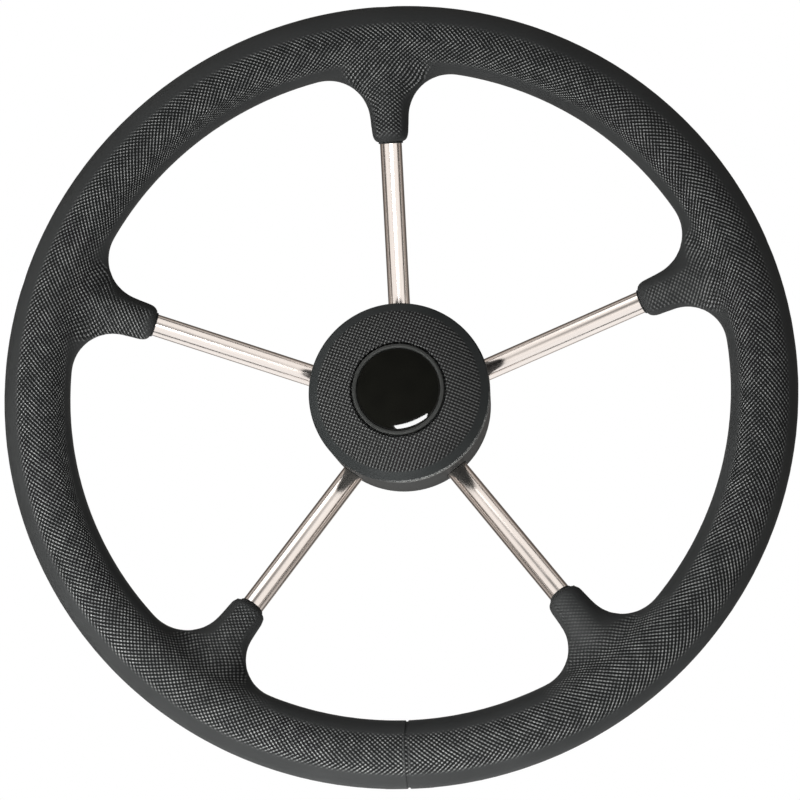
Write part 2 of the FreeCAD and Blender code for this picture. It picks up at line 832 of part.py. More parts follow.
# Every object is checked before anything is written
pieces = [item for item in doc.Objects if item.TypeId == "PartDesign::Body"]
faults = [item.Label for item in doc.Objects if "Invalid" in item.State or "Error" in item.State]
if faults:
    raise RuntimeError("not recomputed: " + ", ".join(faults))
for piece in pieces:
    if piece.Shape.isNull() or not piece.Shape.isValid():
        raise RuntimeError("no valid shape: " + piece.Label)
    expected = int(s.spoke_count.value) if piece.Label == "cover_screws" else 1
    if len(piece.Shape.Solids) != expected:
        raise RuntimeError("%s has %d solids" % (piece.Label, len(piece.Shape.Solids)))

for piece in pieces:
    piece.Shape.exportStep("parts/%s.step" % piece.Label)
    print("%-13s %9.1f mm3 in %d solids" % (piece.Label, piece.Shape.Volume, len(piece.Shape.Solids)))
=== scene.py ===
# %% [markdown]
# # A boat steering wheel in a plain studio
# The solids of the wheel are already made to size. This lesson gives them their looks: a moulded
# soft grip with a fine diamond texture, polished tube spokes, a textured plastic hub cover and a
# gloss disc in the middle. Everything is in metres. The shaft's axis is Y, the driver looks
# along +Y, and +Z is up.

# %% Load the frame and keep its box
import math

import bmesh
import bpy
from mathutils import Matrix, Quaternion, Vector


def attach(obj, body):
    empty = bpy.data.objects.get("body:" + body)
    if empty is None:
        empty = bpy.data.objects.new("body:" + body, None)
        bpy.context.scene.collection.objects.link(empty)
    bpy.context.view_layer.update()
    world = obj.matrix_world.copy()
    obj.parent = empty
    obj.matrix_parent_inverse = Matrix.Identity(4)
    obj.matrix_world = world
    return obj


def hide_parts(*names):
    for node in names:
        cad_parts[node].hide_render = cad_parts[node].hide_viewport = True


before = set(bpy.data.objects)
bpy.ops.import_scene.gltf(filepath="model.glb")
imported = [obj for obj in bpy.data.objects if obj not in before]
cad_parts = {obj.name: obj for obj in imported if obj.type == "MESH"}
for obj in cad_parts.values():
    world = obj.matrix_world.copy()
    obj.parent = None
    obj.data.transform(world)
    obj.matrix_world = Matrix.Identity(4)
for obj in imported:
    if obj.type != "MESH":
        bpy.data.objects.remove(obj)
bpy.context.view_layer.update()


mm = 0.001

# %% [markdown]
# The wheel's own sizes are few: the middle circle of the rim tube, the plane it lies in, and the
# slanted line of a spoke. Pieces and textures below are all placed from them. Spoke number 0
# stands up, and the numbers go clockwise as the driver sees them.

# %% Sizes that the pieces share
RIM_RADIUS = 160.4 * mm
RIM_PLANE = -53.0 * mm
GRIP_RADIUS = 14.6 * mm
SPOKE_FOOT = -3.0 * mm
SPOKE_RADIUS = 5.0 * mm
SPOKES = 5
FULL_TURN = 2 * math.pi
SECTOR = FULL_TURN / SPOKES
SPOKE_SLOPE = (SPOKE_FOOT - RIM_PLANE) / RIM_RADIUS


def spoke_point(index, distance):
    """A point on a spoke's axis, at a distance from the shaft's axis."""
    turn = Matrix.Rotation(index * SECTOR, 4, "Y")
    return turn @ Vector((0.0, SPOKE_FOOT - SPOKE_SLOPE * distance, distance))


def spoke_way(index):
    """The direction of a spoke's axis, from the hub to the rim."""
    return (spoke_point(index, RIM_RADIUS) - spoke_point(index, 0.0)).normalized()


print("spoke 0 meets the rim at", spoke_point(0, RIM_RADIUS))

# %% [markdown]
# ## Camera
# The photograph is taken from a little below and to the right of the wheel's axis, with a long
# lens. The camera's place is given from the middle of the rim. The wheel in the photograph is
# turned a little on its axis, and here the camera rolls instead.

# %% Camera at the photograph's angle
RIM_MIDDLE = Vector((0.0, RIM_PLANE, 0.0))
CAMERA_PLACE = RIM_MIDDLE + Vector((62.2, -911.9, -178.1)) * mm
AIM = RIM_MIDDLE + Vector((1.3, 0.0, -6.6)) * mm
CAMERA_ROLL = math.radians(1.83)
LENS_PIXELS = 2115.0
PICTURE_PIXELS = 800
SENSOR_WIDTH = 36.0


def add_camera():
    data = bpy.data.cameras.new("photo_camera")
    camera = bpy.data.objects.new("photo_camera", data)
    bpy.context.scene.collection.objects.link(camera)
    camera.location = CAMERA_PLACE
    forward = (AIM - CAMERA_PLACE).normalized()
    up = Vector((math.sin(CAMERA_ROLL), 0.0, math.cos(CAMERA_ROLL)))
    right = forward.cross(up).normalized()
    up = right.cross(forward)
    camera.rotation_euler = Matrix((right, up, -forward)).transposed().to_euler()
    data.sensor_width = SENSOR_WIDTH
    data.lens = LENS_PIXELS / PICTURE_PIXELS * SENSOR_WIDTH
    data.dof.use_dof = False
    bpy.context.scene.camera = camera
    return data.lens


lens = add_camera()
print("lens %.1f mm" % lens)

# %% [markdown]
# ## Helpers for materials
# Colours are written as they look on a screen, so one function turns them to the linear values
# that shaders use. One more adds a node, with its settings and links, and gives back its outputs.
# Two settings come back often, so they have names: a range that is mapped with soft ends, and a
# mix of two colours. Most of what a noise gives lies between 0.3 and 0.7.

# %% Colour and node helpers
SOFT_ENDS = {"interpolation_type": "SMOOTHSTEP"}
OF_COLOURS = {"data_type": "RGBA"}
NOISE_RANGE = (0.3, 0.7)
WHITE = (1.0, 1.0, 1.0, 1.0)


def colour(text):
    """A linear colour from an sRGB hex value such as 2a2b2c."""
    def linear(value):
        return value / 12.92 if value <= 0.04045 else ((value + 0.055) / 1.055) ** 2.4
    return [linear(int(text[at:at + 2], 16) / 255) for at in (0, 2, 4)] + [1.0]


def add_node(tree, kind, values=(), **settings):
    """The outputs of a new node. Its values are a list in the order of its sockets, or a
    dictionary by socket, and each is a number, a colour or another node's output."""
    node = tree.nodes.new("ShaderNode" + kind)
    for name, setting in settings.items():
        setattr(node, name, setting)
    pairs = values.items() if isinstance(values, dict) else enumerate(values)
    for socket, value in pairs:
        if isinstance(value, bpy.types.NodeSocket):
            tree.links.new(value, node.inputs[socket])
        else:
            node.inputs[socket].default_value = value
    return node.outputs


def new_material(name, **surface):
    """A material with one Principled shader, its node tree and that shader."""
    material = bpy.data.materials.new(name)
    material.use_nodes = True
    tree = material.node_tree
    shader = tree.nodes["Principled BSDF"]
    for socket, value in surface.items():
        shader.inputs[socket.replace("_", " ")].default_value = value
    return material, tree, shader


print("a dark grey such as 2a2b2c is", round(colour("2a2b2c")[0], 4), "in linear light")

# %% [markdown]
# ## Floor
# The background of the photograph is plain white, as in a small white tent. The floor is a disc
# of matt white card below the wheel. It keeps the wheel's shadow, but is partly lit by itself for
# the camera and wholly so in a mirror, and it fades out towards its edge, so no line shows where
# it ends.

# %% White floor
FLOOR_HEIGHT = -0.62
FLOOR_REACH = 1.4
FLOOR_FADE = (FLOOR_REACH * 0.55, FLOOR_REACH * 0.98)
FLOOR_GLOW = 0.6


def floor_card():
    """Matt white that fades out at the edge of the disc, and looks white in a mirror."""
    material, tree, shader = new_material(
        "matt_white_floor", Base_Color=colour("e6e6e4"), Roughness=0.9)
    path = add_node(tree, "LightPath")
    glow = add_node(tree, "Math", [
        path["Is Camera Ray"], FLOOR_GLOW, path["Is Glossy Ray"]], operation="MULTIPLY_ADD")[0]
    white = add_node(tree, "Emission", {"Color": WHITE, "Strength": 1.0})[0]
    pale = add_node(tree, "MixShader", [glow, shader.outputs[0], white])[0]
    place = add_node(tree, "TexCoord")["Object"]
    flat = add_node(tree, "VectorMath", [place, (1, 1, 0)], operation="MULTIPLY")[0]
    reach = add_node(tree, "VectorMath", [flat], operation="LENGTH")["Value"]
    edge = add_node(tree, "MapRange", [reach, *FLOOR_FADE], **SOFT_ENDS)[0]
    clear = add_node(tree, "BsdfTransparent")[0]
    surface = add_node(tree, "MixShader", [edge, pale, clear])[0]
    tree.links.new(surface, tree.nodes["Material Output"].inputs["Surface"])
    return material


def from_shape(name, shape):
    """A new object from a bmesh, which is freed."""
    mesh = bpy.data.meshes.new(name)
    shape.to_mesh(mesh)
    shape.free()
    piece = bpy.data.objects.new(name, mesh)
    bpy.context.scene.collection.objects.link(piece)
    return piece


def add_floor():
    shape = bmesh.new()
    bmesh.ops.create_circle(shape, cap_ends=True, segments=96, radius=FLOOR_REACH)
    bmesh.ops.translate(shape, verts=shape.verts, vec=(0, 0, FLOOR_HEIGHT))
    floor = from_shape("floor", shape)
    floor.data.materials.append(floor_card())


add_floor()
print("floor at", FLOOR_HEIGHT, "m, out to", FLOOR_REACH, "m")

# %% [markdown]
# ## What a mirror sees
# Polished steel and the gloss disc show the inside of the tent, so it is drawn by direction. Its
# walls are white in front and greyer towards the back. Tan folds hang in them, two low ones and a
# wide high one, and they draw the thin lines along the spokes. A grey band further back darkens
# the tubes' edges. The dark opening round the camera keeps the gloss disc black.

# %% Inside of the tent
TENT_OPENING = Vector((-0.07, -0.97, 0.20)).normalized()
OPENING_EDGE = (math.cos(math.radians(33)), math.cos(math.radians(26)))
WALLS_GREY = (-0.5, 0.35)
LOW_HALF = (0.15, -0.05)
LOW_FOLDS = (-0.30, 0.15)
LOW_FOLD_WIDTH = 0.10
HIGH_FOLD = 0.45
HIGH_FOLD_WIDTH = 0.22
BAND_START = (0.45, 0.60)
BAND_END = (0.86, 0.94)


def fold(tree, value, middle, width):
    """A narrow soft line where the value is at its middle."""
    offset = add_node(tree, "Math", [value, middle], operation="SUBTRACT")[0]
    distance = add_node(tree, "Math", [offset], operation="ABSOLUTE")[0]
    return add_node(tree, "MapRange", [distance, width, width * 0.4], **SOFT_ENDS)[0]


def tent_inside(tree):
    """The colour of the tent in each direction, as a mirror on the wheel sees it."""
    way = add_node(tree, "TexCoord")["Generated"]
    parts = add_node(tree, "SeparateXYZ", [way])
    depth, height = parts["Y"], parts["Z"]
    low = add_node(tree, "MapRange", [height, *LOW_HALF], **SOFT_ENDS)[0]
    pair = [fold(tree, depth, middle, LOW_FOLD_WIDTH) for middle in LOW_FOLDS]
    low_folds = add_node(tree, "Math", pair, operation="MAXIMUM")[0]
    high_fold = fold(tree, depth, HIGH_FOLD, HIGH_FOLD_WIDTH)
    folds = add_node(tree, "Mix", {0: low, 2: high_fold, 3: low_folds}, data_type="FLOAT")[0]
    grey = add_node(tree, "MapRange", [depth, *WALLS_GREY], **SOFT_ENDS)[0]
    walls = add_node(tree, "Mix", {
        0: grey, 6: colour("fffdfb"), 7: colour("b4aea9")}, **OF_COLOURS)[2]
    walls = add_node(tree, "Mix", {0: folds, 6: walls, 7: colour("6a6058")}, **OF_COLOURS)[2]
    start = add_node(tree, "MapRange", [depth, *BAND_START], **SOFT_ENDS)[0]
    end = add_node(tree, "MapRange", [depth, *BAND_END], **SOFT_ENDS)[0]
    band = add_node(tree, "Math", [start, end], operation="SUBTRACT")[0]
    walls = add_node(tree, "Mix", {0: band, 6: walls, 7: colour("585553")}, **OF_COLOURS)[2]
    facing = add_node(tree, "VectorMath", [way, TENT_OPENING], operation="DOT_PRODUCT")["Value"]
    opening = add_node(tree, "MapRange", [facing, *OPENING_EDGE], **SOFT_ENDS)[0]
    return add_node(tree, "Mix", {0: opening, 6: walls, 7: colour("1c1c1b")}, **OF_COLOURS)[2]


print("tent opening towards", TENT_OPENING)

# %% [markdown]
# ## World
# The world has three looks. The camera sees plain white, a mirror-like surface sees the tent's
# inside, and everything else gets a soft even light.

# %% Light all round
SOFT_LIGHT = 0.13


def light_world():
    world = bpy.data.worlds.new("studio")
    bpy.context.scene.world = world
    world.use_nodes = True
    tree = world.node_tree
    soft = add_node(tree, "Background", {"Color": WHITE, "Strength": SOFT_LIGHT})[0]
    white = add_node(tree, "Background", {"Color": WHITE, "Strength": 1.0})[0]
    tent = add_node(tree, "Background", {"Color": tent_inside(tree), "Strength": 1.0})[0]
    path = add_node(tree, "LightPath")
    unseen = add_node(tree, "MixShader", [path["Is Glossy Ray"], soft, tent])[0]
    seen = add_node(tree, "Math", [
        path["Is Camera Ray"], path["Is Transmission Ray"]], operation="MAXIMUM")[0]
    surface = add_node(tree, "MixShader", [seen, unseen, white])[0]
    tree.links.new(surface, tree.nodes["World Output"].inputs["Surface"])


light_world()
bpy.context.scene.view_settings.view_transform = "Standard"
print("world of", len(bpy.context.scene.world.node_tree.nodes), "nodes")

# %% [markdown]
# ## Lamps
# Small soft lamps stand close to the wheel at its left and below it, so its right side is darker.
# Two large ones behind it light the edge of the rim. These four don't show in a mirror, where
# they would draw hard bars on the steel. A narrow strip near the camera gives the white crescent
# on the disc, and a wide lamp high up softens the shadows.

# %% Soft lamps
def add_lamp(name, place, size, power, height=None, turn=0.0, mirrored=True):
    """A soft lamp that faces the wheel: a disc or, given a height, a strip that may be turned."""
    data = bpy.data.lights.new(name, "AREA")
    data.shape = "RECTANGLE" if height else "DISK"
    data.size = size
    data.size_y = height or size
    data.energy = power
    lamp = bpy.data.objects.new(name, data)
    lamp.location = place
    facing = Vector(place).to_track_quat("Z", "Y") @ Quaternion((0, 0, 1), turn)
    lamp.rotation_euler = facing.to_euler()
    lamp.visible_camera = False
    lamp.visible_glossy = mirrored
    bpy.context.scene.collection.objects.link(lamp)


add_lamp("left_lamp", (-0.52, -0.46, -0.06), size=0.3, power=3.8, mirrored=False)
add_lamp("front_strip", (0.076, -1.13, -0.198), size=0.41, power=3.1, height=0.10,
         turn=math.radians(17))
add_lamp("floor_lamp", (-0.10, -0.28, -0.37), size=0.25, power=2.4, mirrored=False)
add_lamp("top_lamp", (-0.5, -0.9, 1.2), size=0.8, power=2.5)
add_lamp("back_lamp", (-0.7, 1.4, 0.9), size=0.8, power=24.0, mirrored=False)
add_lamp("side_lamp", (1.0, 1.6, -0.2), size=0.8, power=24.0, mirrored=False)
print("lamps:", [light.name for light in bpy.data.lights if light.type == "AREA"])

# %% [markdown]
# ## The grip's skin
# A soft grip is cast from polyurethane in a mould. Close up it is a closed, slightly uneven skin
# with a fine diamond texture from the mould's own surface. The dots' tips are painted paler, a
# painted highlight, and the hollows between them are painted near black, a painted shade. The
# texture follows the rim and runs down the collars, and it fades to a smooth margin where the
# surface turns away from the driver. A map on the mesh carries it: one map unit is one period of
# the texture along the rim and one across it. The dots are where two slanted rows of waves meet.
# One attribute says how much of the texture shows, and one which row is stronger, picked by a
# painted light from one side, which gives the soft herringbone look.

# %% Moulded polyurethane
DOT_ALONG = 2.24 * mm
DOT_ACROSS = 1.97 * mm
DOT_EDGES = (-0.3, 0.9)
DOT_LEVEL = 0.6
DOT_HEIGHT = 0.30 * mm
# Real pores are about 0.1 mm across, too fine to show, so these are drawn coarser.
PORE_SIZE = 0.5 * mm
PORE_SHARE = 0.10
# Size of the patches in the painted highlight on the dots' tips.
TIP_HIGHLIGHT_PATCH = 5 * mm
CLOUD_SIZE = 60 * mm


def diamond_dots(tree):
    """1 on the dots of the texture and 0 in its hollows."""
    place = add_node(tree, "UVMap", uv_map="texture_map")[0]
    spot = add_node(tree, "SeparateXYZ", [place])
    turns = [add_node(tree, "Math", [spot[axis], FULL_TURN], operation="MULTIPLY")[0]
             for axis in (0, 1)]
    slants = [add_node(tree, "Math", turns, operation=way)[0] for way in ("SUBTRACT", "ADD")]
    rows = [add_node(tree, "Math", [slant], operation="COSINE")[0] for slant in slants]
    # The stronger row is picked by a painted light from one side, which paints the herringbone
    # look.
    share = add_node(tree, "Attribute", attribute_name="painted_light_row_share")["Fac"]
    waves = add_node(tree, "Mix", {0: share, 2: rows[0], 3: rows[1]}, data_type="FLOAT")[0]
    return add_node(tree, "MapRange", [waves, *DOT_EDGES], **SOFT_ENDS)[0]


def skin_height(tree, place, dots, shown):
    """The texture's height where it shows, with a little of the skin's own fine grain."""
    level = add_node(tree, "Math", [dots, DOT_LEVEL], operation="SUBTRACT")[0]
    texture = add_node(tree, "Math", [level, shown], operation="MULTIPLY")[0]
    pores = add_node(tree, "TexNoise", {
        "Vector": place, "Scale": 1 / PORE_SIZE, "Detail": 2.0})["Fac"]
    return add_node(tree, "Math", [pores, PORE_SHARE, texture], operation="MULTIPLY_ADD")[0]


def moulded_polyurethane():
    material, tree, shader = new_material("moulded_polyurethane_skin", Specular_IOR_Level=0.12)
    place = add_node(tree, "TexCoord")["Object"]
    dots = diamond_dots(tree)
    shown = add_node(tree, "Attribute", attribute_name="texture_share")["Fac"]
    tip = add_node(tree, "Math", [dots, shown], operation="MULTIPLY")[0]
    hollow = add_node(tree, "Math", [shown, tip], operation="SUBTRACT")[0]
    cloudy = add_node(tree, "TexNoise", {
        "Vector": place, "Scale": 1 / CLOUD_SIZE, "Detail": 3.0})["Fac"]
    cloudy = add_node(tree, "MapRange", [cloudy, *NOISE_RANGE], **SOFT_ENDS)[0]
    base = add_node(tree, "Mix", {
        0: cloudy, 6: colour("272828"), 7: colour("2e2f2f")}, **OF_COLOURS)[2]
    # Paler tips in patches: a painted highlight on the raised dots.
    tip_highlight_patches = add_node(tree, "TexNoise", {
        "Vector": place, "Scale": 1 / TIP_HIGHLIGHT_PATCH, "Detail": 2.0})["Fac"]
    tip_highlight_patches = add_node(tree, "MapRange", [tip_highlight_patches, *NOISE_RANGE], **SOFT_ENDS)[0]
    pale = add_node(tree, "Mix", {
        0: tip_highlight_patches, 6: colour("5a5b5b"), 7: colour("7d7e7d")}, **OF_COLOURS)[2]
    base = add_node(tree, "Mix", {0: tip, 6: base, 7: pale}, **OF_COLOURS)[2]
    # Near black in the hollows between the dots: painted shade.
    base = add_node(tree, "Mix", {0: hollow, 6: base, 7: colour("101111")}, **OF_COLOURS)[2]
    tree.links.new(base, shader.inputs["Base Color"])
    dull = add_node(tree, "MapRange", [hollow, 0.0, 1.0, 0.56, 0.75], **SOFT_ENDS)[0]
    tree.links.new(dull, shader.inputs["Roughness"])
    height = skin_height(tree, place, dots, shown)
    bump = add_node(tree, "Bump", {"Height": height, "Distance": DOT_HEIGHT})[0]
    tree.links.new(bump, shader.inputs["Normal"])
    return material


grip_skin = moulded_polyurethane()
print("texture periods round the rim:", round(FULL_TURN * RIM_RADIUS / DOT_ALONG))

# %% [markdown]
# The grip's solid already has the right shape, with its collars blended into the rim. Its mesh is
# made for drawing, though, with long thin triangles. A copy of it gets an even skin: the channel
# for the steel ring inside is taken out, the holes at the collars' ends are closed, and a Remesh
# modifier lays small squares all over. The channel's walls are known by how near they lie to the
# middle of the ring or of a spoke.

# %% Even skin from the grip's solid
SKIN_SQUARE = 1.23 * mm
# The channel's walls are 6.05 mm from the ring's middle line and 5.05 mm from a spoke's.
RING_CHANNEL = 6.4 * mm
SPOKE_SOCKET = 5.2 * mm


def shape_of(piece):
    shape = bmesh.new()
    shape.from_mesh(piece.data)
    return shape


def settle_modifiers(piece):
    """Makes the piece's modifiers part of its mesh."""
    bpy.context.view_layer.update()
    seen = piece.evaluated_get(bpy.context.evaluated_depsgraph_get())
    mesh = bpy.data.meshes.new_from_object(seen)
    old = piece.data
    piece.modifiers.clear()
    piece.data = mesh
    bpy.data.meshes.remove(old)


def distance_from_spoke(index, point):
    along = spoke_way(index)
    offset = point - spoke_point(index, 0.0)
    return (offset - along * offset.dot(along)).length


def in_channel(point):
    """True on the walls of the channel for the ring and the spokes."""
    reach = math.hypot(point.x, point.z)
    if math.hypot(reach - RIM_RADIUS, point.y - RIM_PLANE) < RING_CHANNEL:
        return True
    return any(distance_from_spoke(index, point) < SPOKE_SOCKET for index in range(SPOKES))


def make_grip():
    shape = shape_of(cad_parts["rim_grip"])
    bmesh.ops.remove_doubles(shape, verts=shape.verts, dist=1e-6)
    inside = {vert for vert in shape.verts if in_channel(vert.co)}
    walls = [face for face in shape.faces if all(vert in inside for vert in face.verts)]
    bmesh.ops.delete(shape, geom=walls, context="FACES")
    rims = [edge for edge in shape.edges if edge.is_boundary]
    bmesh.ops.holes_fill(shape, edges=rims, sides=0)
    print("channel faces removed:", len(walls))
    grip = from_shape("grip_skin", shape)
    remesh = grip.modifiers.new("even_skin", "REMESH")
    remesh.mode = "VOXEL"
    remesh.voxel_size = SKIN_SQUARE
    settle_modifiers(grip)
    return grip


grip = make_grip()
print("grip squares:", len(grip.data.polygons))

# %% [markdown]
# The Remesh modifier leaves a faint ripple, which a few rounds of smoothing take out. Then comes
# the joint of the moulding at the bottom of the rim, a narrow groove. Two cuts mark its edges,
# the strip between them is extruded inwards, and its old faces are taken off the top.

# %% Smooth the skin and sink the joint line
SMOOTHING_ROUNDS = 6
SEAM_WIDTH = 1.3 * mm
SEAM_DEPTH = 0.5 * mm
SEAM_REACH = 4 * mm


def near_seam(face, reach):
    """True for a face at the bottom of the wheel whose middle is within reach of its midline."""
    centre = face.calc_center_median()
    return abs(centre.x) < reach and centre.z < 0


def towards_section_centre(point):
    reach = math.hypot(point.x, point.z)
    centre = Vector((point.x / reach * RIM_RADIUS, RIM_PLANE, point.z / reach * RIM_RADIUS))
    return (centre - point).normalized()


def cut_beside_seam(shape, side):
    parts = {}
    for face in shape.faces:
        if near_seam(face, SEAM_REACH):
            parts.update(dict.fromkeys([face, *face.edges, *face.verts]))
    bmesh.ops.bisect_plane(shape, geom=list(parts), dist=1e-7,
                           plane_co=(side * SEAM_WIDTH / 2, 0, 0), plane_no=(1, 0, 0))


def sink_seam(shape):
    """Presses the joint's groove and gives its faces the second material."""
    for side in (-1, 1):
        cut_beside_seam(shape, side)
    strip = [face for face in shape.faces if near_seam(face, SEAM_WIDTH / 2)]
    grown = bmesh.ops.extrude_face_region(shape, geom=strip)
    for item in grown["geom"]:
        if isinstance(item, bmesh.types.BMVert):
            item.co += towards_section_centre(item.co) * SEAM_DEPTH
    bmesh.ops.delete(shape, geom=strip, context="FACES")
    for face in shape.faces:
        if near_seam(face, SEAM_WIDTH / 2 + 1e-6):
            face.material_index = 1
    return len(strip)


def open_edges(piece):
    shape = shape_of(piece)
    count = sum(not edge.is_manifold for edge in shape.edges)
    shape.free()
    return count


def smooth_grip():
    shape = shape_of(grip)
    for _ in range(SMOOTHING_ROUNDS):
        bmesh.ops.smooth_vert(shape, verts=shape.verts, factor=0.5,
                              use_axis_x=True, use_axis_y=True, use_axis_z=True)
    count = sink_seam(shape)
    for face in shape.faces:
        face.smooth = True
    shape.to_mesh(grip.data)
    shape.free()
    grip.data.set_sharp_from_angle(angle=math.radians(40))
    return count


strip_faces = smooth_grip()
print("seam strip of", strip_faces, "faces, open edges", open_edges(grip))

# %% [markdown]
# The texture's map is worked out corner by corner. On the rim it goes round the wheel and round
# the tube's section. On a collar it goes across the spoke and along it, a little stretched.
# Between the two it changes over smoothly.

# %% Places on the texture's map
CROSSOVER = (138 * mm, 151 * mm)
COLLAR_STRETCH = 1.12


def smooth_step(value, low, high):
    """0 at low and 1 at high, also where high is the smaller number."""
    share = min(max((value - low) / (high - low), 0.0), 1.0)
    return share * share * (3 - 2 * share)


def nearest_spoke(point):
    return round(math.atan2(point.x, point.z) / SECTOR) % SPOKES


def texture_place(point, index):
    """Distances along the rim and across it, measured from spoke number index."""
    reach = math.hypot(point.x, point.z)
    angle = math.atan2(point.x, point.z) - index * SECTOR
    angle = (angle + math.pi) % FULL_TURN - math.pi
    section = math.atan2(RIM_RADIUS - reach, abs(point.y - RIM_PLANE))
    rim = Vector((angle * RIM_RADIUS, section * GRIP_RADIUS))
    inwards = RIM_RADIUS - math.cos(angle) * reach
    collar = Vector((math.sin(angle) * reach, inwards * COLLAR_STRETCH))
    return rim.lerp(collar, smooth_step(reach, CROSSOVER[1], CROSSOVER[0]))


def lay_map(mesh):
    texture_map = mesh.uv_layers.new(name="texture_map")
    for face in mesh.polygons:
        index = nearest_spoke(face.center)
        for loop in face.loop_indices:
            point = mesh.vertices[mesh.loops[loop].vertex_index].co
            place = texture_place(point, index)
            texture_map.data[loop].uv = (place.x / DOT_ALONG, place.y / DOT_ACROSS)
    return len(texture_map.data)


corners = lay_map(grip.data)
print("corners on the map:", corners)

# %% [markdown]
# The mould is textured only in a band that faces the driver. On the rim the band leans a little
# down and inwards, and it is wider at the left and right of the wheel. On a collar it lies round
# the spoke, turned to one side or the other, and the photograph shows a different band on each.
# It ends where the web between collar and rim turns in, and at the collar's tip.

# %% How much of the texture shows
RIM_BAND = (math.radians(34), math.radians(46))
BAND_LEAN = Vector((0.13, -1.0, -0.27))
INWARD_LEAN = 0.25
BAND_FADE = math.radians(5)
COLLAR_TURN = [math.radians(angle) for angle in (-4, 18, 16, -7, -30)]
COLLAR_BAND = [math.radians(angle) for angle in (42, 37, 35, 34, 62)]
COLLAR_SHOWN = (0.85, 0.5, 0.15, 0.7, 0.9)
COLLAR_FADE = (132 * mm, 154 * mm)
COLLAR_TIP = (115 * mm, 120 * mm)
COLLAR_ROOT = (149 * mm, 162 * mm)
BESIDE_SPOKE = (17 * mm, 36 * mm)
WEB_BAND = math.radians(42)


def in_band(angle, width):
    """1 inside a band and 0 outside, with a soft edge between."""
    return smooth_step(angle, width + BAND_FADE, width - BAND_FADE)


def rim_texture(normal, outward):
    """How much of the texture shows on the rim: all of it on the band, none on the margins."""
    narrow, wide = RIM_BAND
    facing = BAND_LEAN - outward * INWARD_LEAN
    return in_band(normal.angle(facing), narrow + (wide - narrow) * outward.x ** 2)


def collar_texture(normal, index):
    """The same on a collar, by the angle round the spoke and by the tilt along it."""
    along = spoke_way(index)
    side = Vector((math.cos(index * SECTOR), 0.0, -math.sin(index * SECTOR)))
    front = side.cross(along)
    turn = math.atan2(normal.dot(side), normal.dot(front)) - COLLAR_TURN[index]
    tilt = math.asin(max(min(normal.dot(along), 1.0), -1.0))
    return in_band(abs(turn), COLLAR_BAND[index]) * in_band(abs(tilt), WEB_BAND)


def texture_share(point, normal, index):
    outward = Vector((point.x, 0.0, point.z)).normalized()
    reach = math.hypot(point.x, point.z)
    across = math.sin(math.atan2(point.x, point.z) - index * SECTOR) * reach
    on_collar = smooth_step(reach, COLLAR_ROOT[1], COLLAR_ROOT[0])
    on_collar *= smooth_step(abs(across), BESIDE_SPOKE[1], BESIDE_SPOKE[0])
    shown = COLLAR_SHOWN[index]
    shown += (1 - shown) * smooth_step(reach, *COLLAR_FADE)
    collar = shown * collar_texture(normal, index) * smooth_step(reach, *COLLAR_TIP)
    rim = rim_texture(normal, outward)
    return rim + (collar - rim) * on_collar


share = grip.data.attributes.new("texture_share", "FLOAT", "POINT")
for vert in grip.data.vertices:
    share.data[vert.index].value = texture_share(vert.co, vert.normal, nearest_spoke(vert.co))
textured = sum(item.value > 0.5 for item in share.data)
print("textured share of the grip: %.2f" % (textured / len(share.data)))

# %% [markdown]
# Light that comes mostly from one side makes one of the two slanted rows stand out more, and
# here that light is painted into the texture: a fixed direction of light picks the stronger row.
# Which one changes as the rim goes round, and so does the herringbone look.

# %% Which row is stronger
# The direction of a painted light from one side, which picks the stronger row.
PAINTED_LIGHT_WAY = Vector((-0.20, -0.90, -0.30))
ROW_SHARES = (0.25, 0.75)


def painted_light_row_share(point, normal):
    """The share of the second row, by how well each row lies along the painted light's direction.
    """
    outward = Vector((point.x, 0.0, point.z)).normalized()
    along = Vector((outward.z, 0.0, -outward.x))
    inward = (normal * outward.dot(normal) - outward).normalized()
    one, other = (abs(PAINTED_LIGHT_WAY.dot(along + inward * way)) for way in (1, -1))
    low, high = ROW_SHARES
    return low + (high - low) * one / (one + other + 1e-6)


rows = grip.data.attributes.new("painted_light_row_share", "FLOAT", "POINT")
for vert in grip.data.vertices:
    rows.data[vert.index].value = painted_light_row_share(vert.co, vert.normal)
row_shares = [item.value for item in rows.data]
print("row shares from %.2f to %.2f" % (min(row_shares), max(row_shares)))

# %% [markdown]
# The joint's groove is painted near black, a painted shade in the groove, dull and a little
# grainy. With its two materials on, the skin stands for the grip's solid.

# %% Painted shade in the joint's groove, and the grip finished
GROOVE_GRAIN = 1.2 * mm


def groove_painted_shade():
    material, tree, shader = new_material(
        "black_painted_groove_shade", Roughness=0.8, Specular_IOR_Level=0.1)
    place = add_node(tree, "TexCoord")["Object"]
    grain = add_node(tree, "TexNoise", {
        "Vector": place, "Scale": 1 / GROOVE_GRAIN, "Detail": 2.0})["Fac"]
    # The groove's faces are painted near black: painted shade in the narrow groove.
    base = add_node(tree, "Mix", {
        0: grain, 6: colour("020202"), 7: colour("121212")}, **OF_COLOURS)[2]
    tree.links.new(base, shader.inputs["Base Color"])
    bump = add_node(tree, "Bump", {"Height": grain, "Distance": 0.1 * mm})[0]
    tree.links.new(bump, shader.inputs["Normal"])
    return material


grip.data.materials.clear()
grip.data.materials.append(grip_skin)
grip.data.materials.append(groove_painted_shade())
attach(grip, "root")
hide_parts("rim_grip")
print("grip faces:", len(grip.data.polygons))

# %% [markdown]
# ## Spokes
# Each spoke is a drawn stainless tube, 10 mm across, that runs from a socket in the boss to the
# ring inside the grip. It is polished along its length, which leaves fine lines that way and a
# faint waviness. The marks follow a map that runs round the tube and along it, in metres.

# %% Polished stainless
# Real polishing lines are finer than 0.05 mm, and these are coarse enough to show.
POLISH_LINE = 0.35 * mm
POLISH_LENGTH = 60 * mm
WIPED_PATCH = 14 * mm
TUBE_WAVE = 30 * mm


